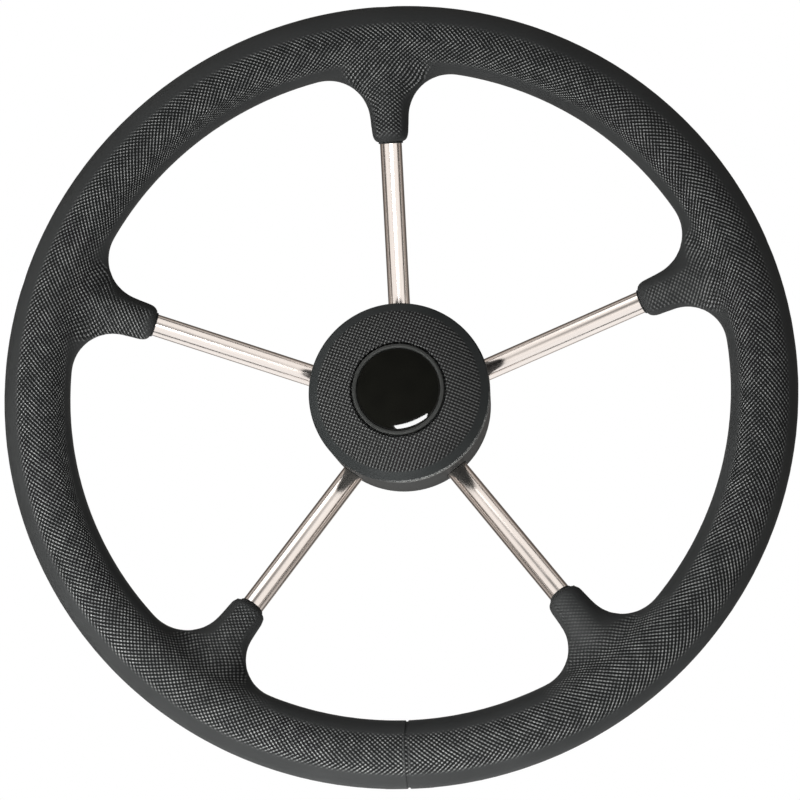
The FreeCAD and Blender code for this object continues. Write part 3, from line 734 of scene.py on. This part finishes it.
def polished_stainless():
    material, tree, shader = new_material("polished_drawn_stainless_steel", Metallic=1.0)
    place = add_node(tree, "UVMap", uv_map="tube_map")[0]
    lines = add_node(tree, "Mapping", {
        "Vector": place, "Scale": (1 / POLISH_LINE, 1 / POLISH_LENGTH, 1.0)})[0]
    marks = add_node(tree, "TexNoise", {"Vector": lines, "Scale": 1.0, "Detail": 3.0})["Fac"]
    marks = add_node(tree, "MapRange", [marks, 0.25, 0.75], **SOFT_ENDS)[0]
    base = add_node(tree, "Mix", {
        0: marks, 6: colour("efe5de"), 7: colour("faf2ec")}, **OF_COLOURS)[2]
    tree.links.new(base, shader.inputs["Base Color"])
    wiped = add_node(tree, "TexNoise", {
        "Vector": place, "Scale": 1 / WIPED_PATCH, "Detail": 2.0})["Fac"]
    gloss = add_node(tree, "MapRange", [wiped, *NOISE_RANGE, 0.15, 0.21], **SOFT_ENDS)[0]
    tree.links.new(gloss, shader.inputs["Roughness"])
    wavy = add_node(tree, "TexNoise", {
        "Vector": place, "Scale": 1 / TUBE_WAVE, "Detail": 0.0})["Fac"]
    bump = add_node(tree, "Bump", {"Height": wavy, "Distance": 0.05 * mm})[0]
    tree.links.new(bump, shader.inputs["Normal"])
    return material


tube_steel = polished_stainless()
print("spoke finish:", tube_steel.name)

# %% [markdown]
# A cone without caps and with equal ends, given a wall, makes the tube. Its map's join lies at
# the back of the tube, and each tube starts one unit further along the map, so that no two have
# the same marks. The tube is then set on its spoke's slanted line.

# %% Five tubes
SPOKE_WALL = 1.5 * mm
SPOKE_ENDS = (14 * mm, 156 * mm)
SPOKE_NODES = ["spoke_1", "spoke_5", "spoke_4", "spoke_3", "spoke_2"]


def lay_tube_map(shape, index):
    tube_map = shape.loops.layers.uv.new("tube_map")
    for face in shape.faces:
        centre = face.calc_center_median()
        middle = math.atan2(centre.x, -centre.y)
        for loop in face.loops:
            point = loop.vert.co
            turn = math.atan2(point.x, -point.y)
            turn += FULL_TURN * round((middle - turn) / FULL_TURN)
            loop[tube_map].uv = (turn * SPOKE_RADIUS, point.z + index)


def make_spoke(index):
    start, end = [spoke_point(index, distance) for distance in SPOKE_ENDS]
    along = (end - start).normalized()
    back = (Vector((0, 1, 0)) - along * along.y).normalized()
    stand = Matrix((back.cross(along), back, along)).transposed().to_4x4()
    shape = bmesh.new()
    bmesh.ops.create_cone(shape, cap_ends=False, segments=72, radius1=SPOKE_RADIUS,
                          radius2=SPOKE_RADIUS, depth=(end - start).length)
    bmesh.ops.solidify(shape, geom=shape.faces[:], thickness=SPOKE_WALL)
    bmesh.ops.recalc_face_normals(shape, faces=shape.faces)
    lay_tube_map(shape, index)
    for face in shape.faces:
        face.smooth = True
    place = Matrix.Translation((start + end) / 2) @ stand
    bmesh.ops.transform(shape, matrix=place, verts=shape.verts)
    spoke = from_shape("spoke_tube_%d" % (index + 1), shape)
    spoke.data.set_sharp_from_angle(angle=math.radians(40))
    spoke.data.materials.append(tube_steel)
    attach(spoke, "root")
    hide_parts(SPOKE_NODES[index])
    return spoke


for index, node in enumerate(SPOKE_NODES):
    heights = [vert.co.z for vert in make_spoke(index).data.vertices]
    print(node, "runs from z %.4f to %.4f" % (min(heights), max(heights)))

# %% [markdown]
# Where a collar ends, the moulding leaves a thin lip that hugs the tube. It is a small circle
# that is spun round the spoke.

# %% Lips at the collars' ends
COLLAR_END = 115.7 * mm
LIP_THICKNESS = 0.8 * mm
LIP_PROUD = LIP_THICKNESS * 0.3


def make_lip(index):
    shape = bmesh.new()
    bmesh.ops.create_circle(shape, segments=12, radius=LIP_THICKNESS / 2)
    bmesh.ops.rotate(shape, verts=shape.verts, cent=(0, 0, 0),
                     matrix=Matrix.Rotation(math.pi / 2, 3, "X"))
    bmesh.ops.translate(shape, verts=shape.verts, vec=(SPOKE_RADIUS + LIP_PROUD, 0, 0))
    bmesh.ops.spin(shape, geom=shape.verts[:] + shape.edges[:], cent=(0, 0, 0), axis=(0, 0, 1),
                   angle=FULL_TURN, steps=48, use_merge=True)
    bmesh.ops.recalc_face_normals(shape, faces=shape.faces)
    for face in shape.faces:
        face.smooth = True
    turn = spoke_way(index).to_track_quat("Z", "Y").to_matrix().to_4x4()
    place = Matrix.Translation(spoke_point(index, COLLAR_END)) @ turn
    bmesh.ops.transform(shape, matrix=place, verts=shape.verts)
    lip = from_shape("grip_lip_%d" % (index + 1), shape)
    lip.data.materials.append(grip_skin)
    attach(lip, "root")
    return lip


lips = [make_lip(index) for index in range(SPOKES)]
print("lips:", len(lips), "open edges", sum(open_edges(lip) for lip in lips))

# %% [markdown]
# ## Front cover
# The cover is moulded ABS. Its crowned face has a fine square texture, a smooth band runs round
# the edge, and the side wall is satin. The solid already has the crown and its rounded edge, so
# it keeps its shape and gets the material. The texture is a flat grid on the two coordinates
# across the wheel, turned a little, with its dots painted paler as a painted highlight and the
# gaps darker as painted shade. It weakens towards the right and the bottom, and the distance
# from the axis and the depth say where it stops. A painted highlight in broken specks lies along
# the edge of the cover at the lower right.

# %% Moulded ABS with a textured face
FACE_DOT = 1.44 * mm
FACE_TURN = math.radians(-22.5)
FACE_DOT_EDGES = (-0.2, 1.7)
FACE_DOT_HEIGHT = 0.12 * mm
TO_RIGHT = (8 * mm, 32 * mm)
TO_BOTTOM = (-14 * mm, -34 * mm)
WEAKENED = (1.0, 0.35)
FACE_RADII = (37.0 * mm, 36.2 * mm)
FACE_DEPTHS = (-36.5 * mm, -37.0 * mm)
EDGE_RADII = (40.0 * mm, 40.4 * mm)
EDGE_DEPTHS = (-34 * mm, -36 * mm)
# Where the painted highlight along the edge lies, by x minus z.
EDGE_HIGHLIGHT_CORNER = (25 * mm, 50 * mm)
# The plastic's own grain is finer than 0.1 mm, and this is coarse enough to show.
ABS_GRAIN = 0.4 * mm
ABS_CLOUD = 25 * mm
ACROSS_WHEEL = (1, 0, 1)


def square_dots(tree, place, parts):
    """1 on the dots of the face's texture and 0 between them."""
    turned = add_node(tree, "Mapping", {"Vector": place, "Rotation": (0, FACE_TURN, 0)})[0]
    grid = add_node(tree, "SeparateXYZ", [turned])
    turns = [add_node(tree, "Math", [grid[axis], FULL_TURN / FACE_DOT], operation="MULTIPLY")[0]
             for axis in "XZ"]
    waves = [add_node(tree, "Math", [turn], operation="COSINE")[0] for turn in turns]
    right = add_node(tree, "MapRange", [parts["X"], *TO_RIGHT, *WEAKENED], **SOFT_ENDS)[0]
    bottom = add_node(tree, "MapRange", [parts["Z"], *TO_BOTTOM, *WEAKENED], **SOFT_ENDS)[0]
    first = add_node(tree, "Math", [waves[0], right], operation="MULTIPLY")[0]
    both = add_node(tree, "Math", [waves[1], bottom, first], operation="MULTIPLY_ADD")[0]
    return add_node(tree, "MapRange", [both, *FACE_DOT_EDGES], **SOFT_ENDS)[0]


def on_face(tree, reach, depth):
    """1 on the textured face, 0 on the band round it and on the side wall."""
    inside = add_node(tree, "MapRange", [reach, *FACE_RADII], **SOFT_ENDS)[0]
    front = add_node(tree, "MapRange", [depth, *FACE_DEPTHS], **SOFT_ENDS)[0]
    return add_node(tree, "Math", [inside, front], operation="MULTIPLY")[0]


def painted_edge_highlight(tree, reach, parts, grain):
    """A painted highlight along the edge, in broken specks at the lower right."""
    outside = add_node(tree, "MapRange", [reach, *EDGE_RADII], **SOFT_ENDS)[0]
    front = add_node(tree, "MapRange", [parts["Y"], *EDGE_DEPTHS], **SOFT_ENDS)[0]
    edge = add_node(tree, "Math", [outside, front], operation="MULTIPLY")[0]
    corner = add_node(tree, "Math", [parts["X"], parts["Z"]], operation="SUBTRACT")[0]
    corner = add_node(tree, "MapRange", [corner, *EDGE_HIGHLIGHT_CORNER], **SOFT_ENDS)[0]
    corner = add_node(tree, "Math", [edge, corner], operation="MULTIPLY")[0]
    specks = add_node(tree, "MapRange", [grain, 0.45, 0.6], **SOFT_ENDS)[0]
    return add_node(tree, "Math", [corner, specks], operation="MULTIPLY")[0]


def moulded_cover():
    material, tree, shader = new_material("moulded_textured_abs", Specular_IOR_Level=0.12)
    place = add_node(tree, "TexCoord")["Object"]
    parts = add_node(tree, "SeparateXYZ", [place])
    flat = add_node(tree, "VectorMath", [place, ACROSS_WHEEL], operation="MULTIPLY")[0]
    reach = add_node(tree, "VectorMath", [flat], operation="LENGTH")["Value"]
    dots = square_dots(tree, place, parts)
    shown = on_face(tree, reach, parts["Y"])
    grain = add_node(tree, "TexNoise", {
        "Vector": place, "Scale": 1 / ABS_GRAIN, "Detail": 2.0})["Fac"]
    cloudy = add_node(tree, "TexNoise", {
        "Vector": place, "Scale": 1 / ABS_CLOUD, "Detail": 2.0})["Fac"]
    cloudy = add_node(tree, "MapRange", [cloudy, *NOISE_RANGE], **SOFT_ENDS)[0]
    smooth = add_node(tree, "Mix", {
        0: cloudy, 6: colour("222424"), 7: colour("292b2b")}, **OF_COLOURS)[2]
    edge_highlight = painted_edge_highlight(tree, reach, parts, grain)
    # The edge at the lower right is painted pale in broken specks: a painted highlight.
    smooth = add_node(tree, "Mix", {0: edge_highlight, 6: smooth, 7: colour("8b8c8a")}, **OF_COLOURS)[2]
    # The dots are painted paler than the gaps: painted highlight on the dots, painted shade in the
    # gaps.
    textured = add_node(tree, "Mix", {
        0: dots, 6: colour("151515"), 7: colour("5c5d5c")}, **OF_COLOURS)[2]
    base = add_node(tree, "Mix", {0: shown, 6: smooth, 7: textured}, **OF_COLOURS)[2]
    tree.links.new(base, shader.inputs["Base Color"])
    dull = add_node(tree, "MapRange", [shown, 0.0, 1.0, 0.5, 0.6], **SOFT_ENDS)[0]
    tree.links.new(dull, shader.inputs["Roughness"])
    raised = add_node(tree, "Math", [dots, shown], operation="MULTIPLY")[0]
    height = add_node(tree, "Math", [grain, 0.08, raised], operation="MULTIPLY_ADD")[0]
    bump = add_node(tree, "Bump", {"Height": height, "Distance": FACE_DOT_HEIGHT})[0]
    tree.links.new(bump, shader.inputs["Normal"])
    return material


def dress(node, material):
    """Puts a material on a solid that keeps its own shape."""
    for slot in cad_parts[node].material_slots:
        slot.material = material
    print(node, "is", material.name)


dress("hub_cover", moulded_cover())

# %% [markdown]
# ## Rear cover
# The rear cover is the same plastic, but its mould is spark-eroded all over, which leaves an even
# dull grain.

# %% Spark-eroded ABS
# Spark erosion leaves pits of about 0.05 mm, and these are coarse enough to show.
SPARK_GRAIN = 0.7 * mm
REAR_CLOUD = 20 * mm


def moulded_rear():
    material, tree, shader = new_material("moulded_spark_eroded_abs")
    place = add_node(tree, "TexCoord")["Object"]
    grain = add_node(tree, "TexNoise", {
        "Vector": place, "Scale": 1 / SPARK_GRAIN, "Detail": 3.0})["Fac"]
    cloudy = add_node(tree, "TexNoise", {
        "Vector": place, "Scale": 1 / REAR_CLOUD, "Detail": 2.0})["Fac"]
    base = add_node(tree, "Mix", {
        0: cloudy, 6: colour("222323"), 7: colour("2f3131")}, **OF_COLOURS)[2]
    tree.links.new(base, shader.inputs["Base Color"])
    dull = add_node(tree, "MapRange", [grain, *NOISE_RANGE, 0.48, 0.62], **SOFT_ENDS)[0]
    tree.links.new(dull, shader.inputs["Roughness"])
    bump = add_node(tree, "Bump", {"Height": grain, "Distance": 0.06 * mm})[0]
    tree.links.new(bump, shader.inputs["Normal"])
    return material


dress("rear_cover", moulded_rear())

# %% [markdown]
# ## Boss, screws and ring
# The boss is turned on a lathe, so its faces carry fine rings about the axis. The rings are a wave
# on the distance from the axis plus the depth, so that they run round every turned face. The steel
# is a little stained.

# %% Turned steel
# A finishing cut leaves rings about 0.15 mm apart, and these are coarse enough to show.
FEED = 0.5 * mm
STAIN_SIZE = 9 * mm


def turned_steel():
    material, tree, shader = new_material("lathe_turned_steel", Metallic=1.0)
    place = add_node(tree, "TexCoord")["Object"]
    flat = add_node(tree, "VectorMath", [place, ACROSS_WHEEL], operation="MULTIPLY")[0]
    reach = add_node(tree, "VectorMath", [flat], operation="LENGTH")["Value"]
    depth = add_node(tree, "SeparateXYZ", [place])["Y"]
    run = add_node(tree, "Math", [reach, depth], operation="ADD")[0]
    turns = add_node(tree, "Math", [run, FULL_TURN / FEED], operation="MULTIPLY")[0]
    rings = add_node(tree, "Math", [turns], operation="SINE")[0]
    stain = add_node(tree, "TexNoise", {
        "Vector": place, "Scale": 1 / STAIN_SIZE, "Detail": 4.0})["Fac"]
    share = add_node(tree, "MapRange", [stain, 0.3, 0.75], **SOFT_ENDS)[0]
    base = add_node(tree, "Mix", {
        0: share, 6: colour("a3a09c"), 7: colour("8a8783")}, **OF_COLOURS)[2]
    tree.links.new(base, shader.inputs["Base Color"])
    dull = add_node(tree, "MapRange", [stain, *NOISE_RANGE, 0.24, 0.38], **SOFT_ENDS)[0]
    tree.links.new(dull, shader.inputs["Roughness"])
    bump = add_node(tree, "Bump", {"Height": rings, "Distance": 0.006 * mm})[0]
    tree.links.new(bump, shader.inputs["Normal"])
    return material


dress("hub_boss", turned_steel())

# %% [markdown]
# The screws are cold-headed stainless, and the ring is plain drawn tube that the grip hides. Both
# are a plain grey metal with small marks, in two tones and at two sizes.

# %% Headed and drawn stainless
def plain_stainless(name, tone, mark_size):
    material, tree, shader = new_material(name, Metallic=1.0)
    place = add_node(tree, "TexCoord")["Object"]
    marks = add_node(tree, "TexNoise", {
        "Vector": place, "Scale": 1 / mark_size, "Detail": 4.0})["Fac"]
    base = add_node(tree, "Mix", {
        0: marks, 6: colour(tone), 7: colour("c9c6c2")}, **OF_COLOURS)[2]
    tree.links.new(base, shader.inputs["Base Color"])
    dull = add_node(tree, "MapRange", [marks, *NOISE_RANGE, 0.22, 0.36], **SOFT_ENDS)[0]
    tree.links.new(dull, shader.inputs["Roughness"])
    bump = add_node(tree, "Bump", {"Height": marks, "Distance": 0.01 * mm})[0]
    tree.links.new(bump, shader.inputs["Normal"])
    return material


dress("cover_screws", plain_stainless("cold_headed_stainless_steel", "a5a29e", 0.8 * mm))
dress("rim_ring", plain_stainless("drawn_stainless_hoop", "9b9894", 3 * mm))

# %% [markdown]
# ## Centre cap
# The cap is a snap-in dish of nylon with a rounded rim. Nylon from a polished mould is satin: it
# has a soft highlight with a very fine grain in it.

# %% Satin nylon
# The mould's own grain is finer than 0.1 mm, and this is coarse enough to show.
NYLON_GRAIN = 0.5 * mm
NYLON_CLOUD = 12 * mm


def satin_nylon():
    material, tree, shader = new_material("moulded_satin_nylon", Specular_IOR_Level=0.3)
    place = add_node(tree, "TexCoord")["Object"]
    grain = add_node(tree, "TexNoise", {
        "Vector": place, "Scale": 1 / NYLON_GRAIN, "Detail": 2.0})["Fac"]
    cloudy = add_node(tree, "TexNoise", {
        "Vector": place, "Scale": 1 / NYLON_CLOUD, "Detail": 2.0})["Fac"]
    base = add_node(tree, "Mix", {
        0: cloudy, 6: colour("262725"), 7: colour("303130")}, **OF_COLOURS)[2]
    tree.links.new(base, shader.inputs["Base Color"])
    satin = add_node(tree, "MapRange", [grain, *NOISE_RANGE, 0.30, 0.42], **SOFT_ENDS)[0]
    tree.links.new(satin, shader.inputs["Roughness"])
    bump = add_node(tree, "Bump", {"Height": grain, "Distance": 0.01 * mm})[0]
    tree.links.new(bump, shader.inputs["Normal"])
    return material


dress("centre_cap", satin_nylon())

# %% [markdown]
# ## Domed disc
# The disc is a clear resin dome over a plain black ground, cast thick enough for its surface to
# pull itself smooth, so it is the glossiest thing on the wheel, with only a faint waviness.

# %% Gloss resin
RESIN_WAVE = 9 * mm


def gloss_resin():
    material, tree, shader = new_material("cast_gloss_resin_over_black", Roughness=0.04)
    place = add_node(tree, "TexCoord")["Object"]
    waves = add_node(tree, "TexNoise", {
        "Vector": place, "Scale": 1 / RESIN_WAVE, "Detail": 0.0})["Fac"]
    base = add_node(tree, "Mix", {
        0: waves, 6: colour("0d0d0b"), 7: colour("131310")}, **OF_COLOURS)[2]
    tree.links.new(base, shader.inputs["Base Color"])
    bump = add_node(tree, "Bump", {"Height": waves, "Distance": 0.01 * mm})[0]
    tree.links.new(bump, shader.inputs["Normal"])
    return material


resin = gloss_resin()
print("disc finish:", resin.name)

# %% [markdown]
# The resin is poured to the disc's edge and held there by its own surface, so it makes a low dome,
# nearly flat in the middle and steeper near its small round edge. A profile of a few points is
# spun round the axis.

# %% Poured dome
DISC_RADIUS = 18.6 * mm
DISC_BACK = -43.4 * mm
DISC_EDGE = -44.1 * mm
DISC_RISE = 1.3 * mm
EDGE_ROUND = 0.35 * mm
DOME_STEPS = 24
DOME_POWER = 3


def dome_profile():
    """Points from the top of the dome, over its round edge, to the middle of its back."""
    flat = DISC_RADIUS - EDGE_ROUND
    points = []
    for step in range(DOME_STEPS + 1):
        share = step / DOME_STEPS
        points.append((flat * share, DISC_EDGE - DISC_RISE * (1 - share ** DOME_POWER)))
    for turn in (math.radians(30), math.radians(60), math.radians(90)):
        across = flat + EDGE_ROUND * math.sin(turn)
        points.append((across, DISC_EDGE + EDGE_ROUND * (1 - math.cos(turn))))
    points += [(DISC_RADIUS, DISC_BACK), (0.0, DISC_BACK)]
    return [Vector((across, depth, 0.0)) for across, depth in points]


def make_dome():
    shape = bmesh.new()
    verts = [shape.verts.new(point) for point in dome_profile()]
    edges = [shape.edges.new(pair) for pair in zip(verts, verts[1:])]
    bmesh.ops.spin(shape, geom=verts + edges, cent=(0, 0, 0), axis=(0, 1, 0), angle=FULL_TURN,
                   steps=96, use_merge=True)
    bmesh.ops.remove_doubles(shape, verts=shape.verts, dist=1e-6)
    bmesh.ops.recalc_face_normals(shape, faces=shape.faces)
    for face in shape.faces:
        face.smooth = True
    dome = from_shape("poured_dome", shape)
    dome.data.set_sharp_from_angle(angle=math.radians(50))
    dome.data.materials.append(resin)
    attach(dome, "root")
    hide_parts("cap_dome")
    return dome


dome = make_dome()
print("dome faces:", len(dome.data.polygons), "open edges", open_edges(dome))
